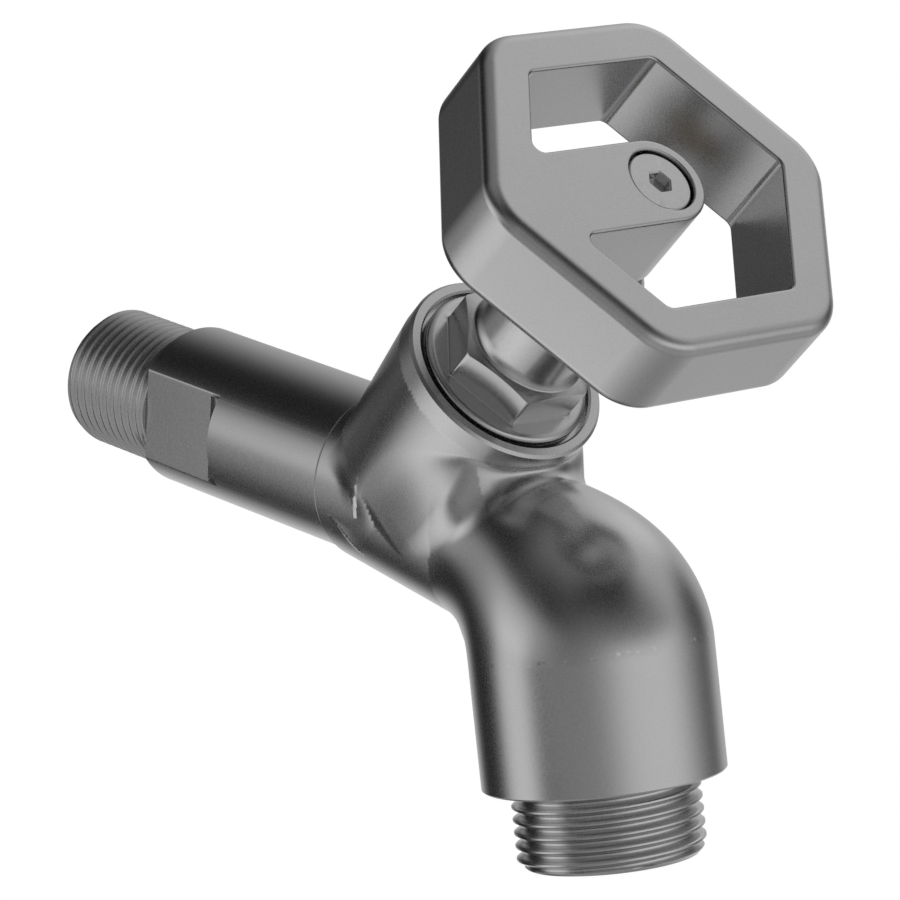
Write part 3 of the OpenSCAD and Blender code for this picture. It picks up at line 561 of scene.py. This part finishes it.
stub_bore_r = stub_r + 0.05
stub_bore_end = stub_end_y + 0.5
shank_rows += [
    (waterway_r + small_chamfer, inlet_thread_len), (waterway_r, inlet_thread_len - small_chamfer),
    (waterway_r, stub_bore_end), (stub_bore_r, stub_bore_end), (stub_bore_r, joint_y + small_chamfer),
]
shank_shape = turned(np.zeros(3), INLET, shank_rows, shank_angles)
shank = make_piece("wall_shank", *shank_shape, matt_metal.material)
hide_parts("inlet_shank")
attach(shank, "root")

rubber = Finish("nitrile_rubber", Metallic=0.0, Roughness=0.6)
rubber_grain = rubber.noise(3.0)
rubber.feed("Base Color", rubber.tint(rubber_grain, grey(0.012), grey(0.03)))
rubber.feed("Roughness", 0.5 + rubber_grain * 0.2)
rubber.bump(rubber_grain, 0.2, 0.03)


def finish_nodes(finish, *names):
    """Gives CAD nodes that are shown as they are a finish of their own."""
    for name in names:
        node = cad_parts[name]
        if not node.material_slots:
            node.data.materials.append(None)
        for slot in node.material_slots:
            slot.material = finish.material


finish_nodes(rubber, "shank_o_ring")

# Seat, jumper and spindle: machined brass inside the headwork. The jumper's black
# washer closes on the seat, and its hexagonal guide slides in the bonnet as the
# double-start spindle turns. A steel screw holds the washer.
brass = Finish("machined_brass", Metallic=1.0, Roughness=0.3)
brass_grain = brass.noise(1.2)
brass.feed("Base Color", brass.tint(brass_grain, (0.62, 0.42, 0.16, 1), (0.78, 0.56, 0.24, 1)))
brass.feed("Roughness", 0.22 + brass_grain * 0.14)
brass.bump(lathe_lines(brass, lean, 4.0), 0.12, 0.02)
steel = Finish("stainless_steel", Metallic=1.0, Roughness=0.28)
steel_grain = steel.noise(2.0)
steel.feed("Base Color", steel.tint(steel_grain, grey(0.5), grey(0.62)))
steel.feed("Roughness", 0.22 + steel_grain * 0.12)
finish_nodes(brass, "seat_ring", "jumper", "spindle")
finish_nodes(rubber, "seat_washer", "spindle_o_rings", "bonnet_seal")
finish_nodes(steel, "washer_screw", "lock_washer", "check_retaining_ring")

# Bonnet: turned brass, plated. Its threaded barrel screws into the collar, a flange with
# a rounded edge sits in the recess on a fibre seal, and above the hexagon a plain neck
# takes the gland nut.
flange_bottom = 27.7
flange_r = 12.6
flange_edge = 28.2
flange_top = 29.0
hex_half = 9.35
hex_top = 34.6
neck_r = 8.0
foot_w = 0.7
foot_h = 2.0
neck_top = 48.6
packing_top = 38.625
bonnet_bottom = 17.5
bonnet_thread_r = 10.15
guide_half = 6.12
gland_bore_r = 6.95
packing_r = 6.46
washer_shelf = 31.625
stem_bore_r = 4.3
guide_top = 30.025
flange_edge_r = 1.1
flange_edge_h = 0.8
QUARTER = np.linspace(0, math.pi / 2, 9)
SIXTH = math.pi / 3


def hexagon(angles, half, soften):
    """Radius of a hexagon with softened corners, one of them at angle 0."""
    turn = np.mod(angles, SIXTH)
    return np.minimum(half / np.cos(turn - SIXTH / 2), 2 * half / math.sqrt(3) - soften)


bonnet_angles = round_angles([i * SIXTH for i in range(6)])
spanner = hexagon(bonnet_angles, hex_half, 0.12)
guide_bore = hexagon(bonnet_angles, guide_half, 0)
chamfer_foot = hex_top - (spanner - hex_half + 0.1) * 0.9 / 2.55
barrel_len = flange_bottom - bonnet_bottom
barrel_rows = thread_rows(bonnet_angles, bonnet_thread_r, 1.4, 0.8, barrel_len, 0.8, hand=-1)
bonnet_rows = [(guide_bore, bonnet_bottom)]
bonnet_rows += [(r, flange_bottom - h) for r, h in reversed(barrel_rows)]
bonnet_rows += [(flange_r, flange_bottom)]
bonnet_rows += [
    (flange_r - flange_edge_r + flange_edge_r * math.cos(a), flange_edge + flange_edge_h * math.sin(a))
    for a in QUARTER
]
bonnet_rows += [
    (spanner + 0.25, flange_top), (spanner + 0.07, flange_top + 0.07), (spanner, flange_top + 0.25),
    (spanner, chamfer_foot - 0.1), (spanner - 0.04, chamfer_foot), (hex_half - 0.1, hex_top),
]
bonnet_rows += [
    (neck_r + foot_w * (1 - math.sin(a)), hex_top + foot_h * (1 - math.cos(a))) for a in QUARTER
]
bonnet_rows += [
    (neck_r, neck_top - small_chamfer), (neck_r - small_chamfer, neck_top), (gland_bore_r, neck_top),
    (gland_bore_r, packing_top), (packing_r, packing_top), (packing_r, washer_shelf),
    (stem_bore_r, washer_shelf), (stem_bore_r, guide_top), (guide_bore, guide_top),
]
bonnet_shape = turned(crossing, lean, bonnet_rows, bonnet_angles)
bonnet = make_piece("bonnet_turned", *bonnet_shape, turned_metal.material)
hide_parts("bonnet")
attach(bonnet, "root")

# Gland nut: turned brass, plated, with two small spanner flats on its round head. It
# presses the white packing round the spindle.
gland_top = 53.6
gland_flat_half = 7.4
gland_flat_bottom = gland_top - 4.3
gland_face_r = 7.2
gland_thread_r = 6.9
stem_hole_r = 4.06
gland_edge = math.asin(gland_flat_half / neck_r)
gland_angles = round_angles([gland_edge, math.pi - gland_edge, -gland_edge, math.pi + gland_edge])
gland_reach = gland_flat_half / np.maximum(np.abs(np.sin(gland_angles)), 0.1)
gland_flatted = soft_min(np.full(len(gland_angles), neck_r), gland_reach, 0.1)
gland_thread_len = neck_top - packing_top
gland_thread = thread_rows(gland_angles, gland_thread_r, 1.0, 0.5, gland_thread_len, 0.5, hand=-1)
gland_rows = [(stem_hole_r, packing_top)]
gland_rows += [(r, neck_top - h) for r, h in reversed(gland_thread)]
gland_rows += [
    (neck_r - small_chamfer, neck_top), (neck_r, neck_top + small_chamfer), (neck_r, gland_top - 4.4),
    (np.maximum(gland_flatted, neck_r - 0.1), gland_flat_bottom), (gland_flatted, gland_flat_bottom),
    (gland_flatted, gland_top - (gland_flatted - gland_face_r)), (gland_face_r, gland_top),
    (stem_bore_r, gland_top), (stem_hole_r, gland_top - 0.24),
]
gland_shape = turned(crossing, lean, gland_rows, gland_angles)
gland = make_piece("gland_nut_turned", *gland_shape, turned_metal.material)
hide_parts("gland_nut")
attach(gland, "root")

plastic = Finish("white_acetal", Metallic=0.0, Roughness=0.45)
plastic_cloud = plastic.noise(0.4)
plastic.feed("Base Color", plastic.tint(plastic_cloud, (0.74, 0.73, 0.69, 1), (0.82, 0.81, 0.77, 1)))
plastic.feed("Roughness", 0.38 + plastic_cloud * 0.12)
plastic.bump(plastic.noise(4.0), 0.1, 0.02)
finish_nodes(plastic, "gland_packing", "thrust_washer", "check_housing", "check_poppet")

# Handle: a cast hexagonal ring with one broad spoke and a hub, blasted and plated. It
# sits on the spindle's square, and a socket screw in the hub's pocket holds it.
handle_top = 71.4
handle_bottom = 57.2
handle_edge = 1.9
ring_corner = 26.5 * 2 / math.sqrt(3)
ring_corner_r = 8.5
opening_half = 19.55
opening_r = 1.6
spoke_half = 6.7
spoke_root = (2 * opening_half - spoke_half) / math.sqrt(3)
spoke_r = 1.4
opening_edge = 0.45
pocket_r = 5.05
washer_seat = 67.75
square_half = 3.35
square_top = 65.85
square_corner_r = 0.3
screw_hole_r = 2.1
pocket_edge_r = 0.25


def outline(corners):
    """Points round a shape with rounded corners, each with its outward direction."""
    points, normals = [], []
    for i, (x, y, r) in enumerate(corners):
        here = np.array([x, y])
        before = np.array(corners[i - 1][:2]) - here
        after = np.array(corners[(i + 1) % len(corners)][:2]) - here
        before /= np.linalg.norm(before)
        after /= np.linalg.norm(after)
        half = math.acos(before @ after) / 2
        outer = after[0] * before[1] - after[1] * before[0] > 0
        middle = (before + after) / np.linalg.norm(before + after)
        centre = here + middle * r / math.sin(half)
        start = here + before * r / math.tan(half) - centre
        sweep = (math.pi - 2 * half) * (1 if outer else -1)
        steps = max(4, int(abs(sweep) * r * 1.6) + 3)
        for turn in np.linspace(0, sweep, steps + 1):
            c, s = math.cos(turn), math.sin(turn)
            spoke = np.array([c * start[0] - s * start[1], s * start[0] + c * start[1]])
            points.append(centre + spoke)
            normals.append(spoke / r * (1 if outer else -1))
    return np.array(points), np.array(normals)


def hexagon_corners(reach, r):
    return [(reach * math.cos(i * SIXTH), reach * math.sin(i * SIXTH), r) for i in range(6)]


ring_outline = outline(hexagon_corners(ring_corner, ring_corner_r))
opening_x = opening_half / math.sqrt(3)
opening_outline = outline([
    (-spoke_root, -spoke_half, spoke_r), (-opening_x, -opening_half, opening_r),
    (opening_x, -opening_half, opening_r), (2 * opening_x, 0, opening_r),
    (opening_x, opening_half, opening_r), (-opening_x, opening_half, opening_r),
    (-spoke_root, spoke_half, spoke_r), (spoke_half, spoke_half, spoke_half),
    (spoke_half, -spoke_half, spoke_half),
])
round_points = np.array([(math.cos(a), math.sin(a)) for a in np.linspace(0, 2 * math.pi, 49)[:-1]])
circle = (round_points, round_points)


def walls(shape, levels, scale=1.0):
    """Rings of a shape at each level: how far it is set in, and its height."""
    points, normals = shape
    return [
        np.column_stack([points * scale - normals * inset, np.full(len(points), height)])
        for inset, height in levels
    ]


def edge_levels(r, top, side=1):
    """Levels of a rounded edge, from the wall to the face."""
    return [(r * (1 - math.cos(a)) * side, top - r * (1 - math.sin(a))) for a in QUARTER]


def mirrored(levels):
    """The same levels on the handle's underside, in rising order."""
    return [(inset, handle_top + handle_bottom - height) for inset, height in reversed(levels)]


handle_mesh = bmesh.new()


def raise_walls(rings):
    """Adds the faces between rings, and gives back the edges of the first and the last."""
    loops = [[handle_mesh.verts.new(p) for p in ring] for ring in rings]
    for low, high in zip(loops, loops[1:]):
        for i in range(len(low)):
            j = (i + 1) % len(low)
            handle_mesh.faces.new((low[i], low[j], high[j], high[i]))
    ends = []
    for loop in (loops[0], loops[-1]):
        ends.append([handle_mesh.edges.get((loop[i], loop[(i + 1) % len(loop)])) for i in range(len(loop))])
    return ends


outer_edge = edge_levels(handle_edge, handle_top)
outer_edge.append((handle_edge + 0.2, handle_top))
inner_edge = edge_levels(opening_edge, handle_top, -1)
inner_edge.append((-opening_edge - 0.15, handle_top))
outer_ends = raise_walls(walls(ring_outline, mirrored(outer_edge) + outer_edge))
inner_ends = raise_walls(walls(opening_outline, mirrored(inner_edge) + inner_edge))
pocket_edge = edge_levels(pocket_edge_r, handle_top, -1)
pocket_ends = raise_walls(walls(circle, [(0, washer_seat)] + pocket_edge, pocket_r))
hole_ends = raise_walls(walls(circle, [(0, square_top), (0, washer_seat)], screw_hole_r))
square = outline([
    (x * square_half, y * square_half, square_corner_r) for x, y in ((-1, -1), (1, -1), (1, 1), (-1, 1))
])
square_levels = [
    (-small_chamfer, handle_bottom), (0, handle_bottom + small_chamfer), (0, square_top),
]
square_ends = raise_walls(walls(square, square_levels))
for edges in (
    outer_ends[1] + inner_ends[1] + pocket_ends[1],
    outer_ends[0] + inner_ends[0] + square_ends[0],
    pocket_ends[0] + hole_ends[1],
    hole_ends[0] + square_ends[1],
):
    bmesh.ops.triangle_fill(handle_mesh, use_beauty=True, edges=edges)
bmesh.ops.recalc_face_normals(handle_mesh, faces=handle_mesh.faces)
handle_mesh.verts.index_update()
local = np.array([v.co for v in handle_mesh.verts])
handle_points = crossing + np.outer(local[:, 0], RIGHT)
handle_points = handle_points + np.outer(local[:, 1], lean_back) + np.outer(local[:, 2], lean)
handle_faces = [[v.index for v in f.verts] for f in handle_mesh.faces]
handle_mesh.free()


def even_normals(piece):
    """Lets the large faces of a part keep their flat shading up to its rounded edges."""
    even = piece.modifiers.new("even", "WEIGHTED_NORMAL")
    even.keep_sharp = True
    even.weight = 100


handle = make_piece("ring_handle", handle_points, handle_faces, matt_metal.material)
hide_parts("handle")
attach(handle, "spindle")

# Handle screw: stainless, with a socket for a hexagon key, sunk a little in its pocket
# over a thin lock washer.
screw_top = 70.95
screw_bottom = 68.55
screw_r = 4.8
screw_edge_r = 0.35
shaft_r = 2.0
socket_half = 1.5
socket_bottom = screw_top - 1.44
socket_chamfer = 0.22
screw_angles = round_angles([i * SIXTH for i in range(6)], 96)
socket = hexagon(screw_angles, socket_half, 0)
screw_rows = [
    (0, handle_bottom), (shaft_r - small_chamfer, handle_bottom), (shaft_r, handle_bottom + small_chamfer),
    (shaft_r, screw_bottom), (screw_r - 0.15, screw_bottom), (screw_r, screw_bottom + 0.15),
]
for a in np.linspace(0, math.pi / 2, 7):
    edge_radius = screw_r - screw_edge_r + screw_edge_r * math.cos(a)
    screw_rows.append((edge_radius, screw_top - screw_edge_r + screw_edge_r * math.sin(a)))
screw_rows += [
    (socket + socket_chamfer, screw_top), (socket, screw_top - socket_chamfer),
    (socket, socket_bottom), (0, socket_bottom - 0.35),
]
screw_shape = turned(crossing, lean, screw_rows, screw_angles, closed=False)
screw = make_piece("handle_socket_screw", *screw_shape, turned_metal.material)
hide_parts("handle_screw")
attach(screw, "spindle")

# Hose nipple: turned brass, plated. The upper thread is screwed into the spout against
# a seal, and the lower one, three-quarter-inch, takes the hose union.
nipple_top = 23.15
nipple_bottom = 43.4
hose_r = 13.2205
hose_neck_h = 0.6
mouth_r = 8.2
cartridge_r = 9.55
cartridge_bottom = 37.65
ring_groove_r = 10.1
ring_groove_top = 23.75
ring_groove_bottom = 24.6
upper_thread_r = 12.5
nipple_angles = round_angles([], 144)
upper = thread_rows(nipple_angles, upper_thread_r, 1.5, 0.8, spout_len - nipple_top, 0.8, hand=-1)
hose_len = nipple_bottom - spout_len - hose_neck_h
lower = thread_rows(nipple_angles, hose_r, thread_pitch, thread_depth, hose_len, pipe_lead)
nipple_rows = [(cartridge_r + 0.2, nipple_top)] + [(r, spout_len - h) for r, h in reversed(upper)]
nipple_rows += [(hose_r - thread_depth, spout_len), (hose_r - thread_depth, spout_len + hose_neck_h)]
nipple_rows += [(r, spout_len + hose_neck_h + h) for r, h in lower]
nipple_rows += [
    (mouth_r + end_chamfer, nipple_bottom), (mouth_r, nipple_bottom - end_chamfer),
    (mouth_r, cartridge_bottom), (cartridge_r, cartridge_bottom), (cartridge_r, ring_groove_bottom),
    (ring_groove_r, ring_groove_bottom), (ring_groove_r, ring_groove_top), (cartridge_r, ring_groove_top),
    (cartridge_r, nipple_top + 0.2),
]
nipple_shape = turned(spout_start, spout_down, nipple_rows, nipple_angles)
nipple = make_piece("hose_nipple", *nipple_shape, turned_metal.material)
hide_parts("outlet_nipple")
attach(nipple, "root")
finish_nodes(rubber, "nipple_seal", "check_housing_o_ring", "poppet_seal")

# Check valve: an acetal housing and poppet, shown as their CAD solids, and a stainless
# spring with closed ends that holds the poppet shut until water flows out.
spring_bottom = 35.6
spring_top = 29.1
coil_r = 3.3
wire_r = 0.3
coil_turns = 4.5
coil_steps = 32
wire_sides = 10
wire_gap = 0.03
end_rise = 0.12
coil_height = spring_bottom - spring_top - 2 * wire_r - 0.06
spring_points = []
for i in range(int(coil_turns * coil_steps) + 1):
    turn = i / coil_steps
    angle = 2 * math.pi * turn
    rise = (
        ease(turn, 0, 1.1) * end_rise + ease(turn, 0.6, coil_turns - 0.6) * 0.76
        + ease(turn, coil_turns - 1.1, coil_turns) * end_rise
    )
    depth = spring_bottom - wire_r - wire_gap - rise * coil_height
    out = math.cos(angle) * RIGHT + math.sin(angle) * spout_out
    centre = spout_start + spout_down * depth + out * coil_r
    for j in range(wire_sides):
        tilt = 2 * math.pi * j / wire_sides
        spring_points.append(centre + wire_r * (math.cos(tilt) * out + math.sin(tilt) * spout_down))
rings = int(coil_turns * coil_steps)
spring_faces = [
    (
        i * wire_sides + j, i * wire_sides + (j + 1) % wire_sides,
        (i + 1) * wire_sides + (j + 1) % wire_sides, (i + 1) * wire_sides + j,
    )
    for i in range(rings) for j in range(wire_sides)
]
spring_faces += [tuple(range(wire_sides)), tuple(rings * wire_sides + j for j in range(wire_sides))]
spring = make_piece("return_spring", spring_points, spring_faces, steel.material)
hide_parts("check_spring")
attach(spring, "root")
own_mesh(spring)
for piece in (shank, bonnet, gland, handle, screw, nipple):
    even_normals(piece)

# Camera: stands where the photograph was taken from, by a fit to the photograph's
# outline. A long lens on a full-frame sensor.
camera = bpy.data.objects.new("camera", bpy.data.cameras.new("camera"))
camera.data.lens = 183.32
camera.data.sensor_width = 36
camera.data.clip_start = 0.01
view_right = Vector((0.752894, -0.655953, 0.05364))
view_down = Vector((-0.138486, -0.237574, -0.961447))
view_forward = Vector((0.643407, 0.716439, -0.269708))
camera.matrix_world = Matrix((view_right, -view_down, -view_forward)).transposed().to_4x4()
camera.location = (-0.41597, -0.52029, 0.18139)
bpy.context.scene.collection.objects.link(camera)
bpy.context.scene.camera = camera

# Studio: a pale floor and a white background, a soft lamp, and far round the object a
# dim shell with a few soft boxes, which only reflections see.
floor_z = -1.9
shell_r = 1.6
dim_room = 0.01
lamp_power = 14
shell_middle = Vector((0, -0.06, 0))
floor_half = 9
# Bearing from the front, elevation, half width and half height in degrees, and level
soft_boxes = {
    "tall_strip_left": (-120, -34, 16, 32, 0.78),
    "window_left": (-120, 9, 34, 13, 0.48),
    "window_front": (12, 4, 32, 12, 0.50),
    "wall_front": (0, -6, 46, 32, 0.28),
    "high_box_right": (84, 44, 30, 18, 0.46),
    "backdrop": (120, -2, 23, 38, 0.52),
    "backdrop_foot": (148, -28, 17, 17, 0.50),
    "ceiling_back": (175, 85, 30, 20, 0.22),
    "ground": (0, -70, 60, 30, 0.28),
}


def seen_as_white(finish, level):
    """White for the camera and in reflections, and that level as light on anything else."""
    path = finish.tree.nodes.new("ShaderNodeLightPath")
    rays = ("Is Camera Ray", "Is Glossy Ray", "Is Transmission Ray")
    seen = [Value(finish, path.outputs[name]) for name in rays]
    return level + (seen[0] + seen[1] + seen[2]) * (1 - level)


world = bpy.data.worlds.new("white_background")
world.use_nodes = True
bpy.context.scene.world = world
room = Finish.__new__(Finish)
room.tree = world.node_tree
room.shader = world.node_tree.nodes["Background"]
room.feed("Color", seen_as_white(room, 0.6))

floor_finish = Finish("pale_floor", Roughness=0.9)
floor_finish.shader.inputs["Base Color"].default_value = grey(0.8)
floor_finish.shader.inputs["Emission Strength"].default_value = 1.0
floor_finish.feed("Emission Color", seen_as_white(floor_finish, 0.0) * 0.5)
corners = [(x * floor_half, y * floor_half, floor_z) for x, y in ((-1, -1), (1, -1), (1, 1), (-1, 1))]
floor = make_piece("floor", np.array(corners) / MM, [(0, 1, 2, 3)], floor_finish.material)

panel_finish = Finish("soft_panels", Roughness=1.0)
panel_finish.shader.inputs["Base Color"].default_value = grey(0.0)
panel_finish.shader.inputs["Specular IOR Level"].default_value = 0.0
panel_finish.shader.inputs["Emission Strength"].default_value = 1.0
outward = panel_finish.node("ShaderNodeVectorMath", {"operation": "NORMALIZE"}, panel_finish.place())
edge_level = math.exp(-0.5)
light = dim_room
for bearing, elevation, half_width, half_height, level in soft_boxes.values():
    a, e = math.radians(bearing), math.radians(elevation)
    middle = Vector((math.sin(a) * math.cos(e), -math.cos(a) * math.cos(e), math.sin(e)))
    across = Vector((math.cos(a), math.sin(a), 0))
    up = across.cross(middle)
    ways = (across / math.radians(half_width), up / math.radians(half_height), middle * 2)
    x, y, z = (along_way(panel_finish, outward, way) for way in ways)
    x2 = x * x
    y2 = y * y
    glow = panel_finish.node("ShaderNodeMath", {"operation": "POWER"}, edge_level, x2 * x2 + y2 * y2)
    facing = panel_finish.node("ShaderNodeMath", {"operation": "MULTIPLY", "use_clamp": True}, z, 1.0)
    light = light + glow * facing * level
panel_finish.feed("Emission Color", light)
steps = np.linspace(0.001, math.pi - 0.001, 33)
shell_rows = [(shell_r / MM * math.sin(t), shell_r / MM * math.cos(t)) for t in steps]
upright = np.array([0.0, 0.0, 1.0])
shell_shape = turned(np.zeros(3), upright, shell_rows, sides=64, closed=False)
shell = make_piece("panel_shell", *shell_shape, panel_finish.material)
shell.location = shell_middle
for ray in ("camera", "diffuse", "transmission", "volume_scatter", "shadow"):
    setattr(shell, "visible_" + ray, False)

lamp = bpy.data.objects.new("soft_lamp", bpy.data.lights.new("soft_lamp", "AREA"))
lamp.data.size = 1.2
lamp.data.energy = lamp_power
lamp.location = (-0.7, -0.9, 1.1)
lamp.rotation_euler = (shell_middle - lamp.location).to_track_quat("-Z", "Y").to_euler()
lamp.visible_glossy = False
bpy.context.scene.collection.objects.link(lamp)
bpy.context.scene.view_settings.view_transform = "Standard"
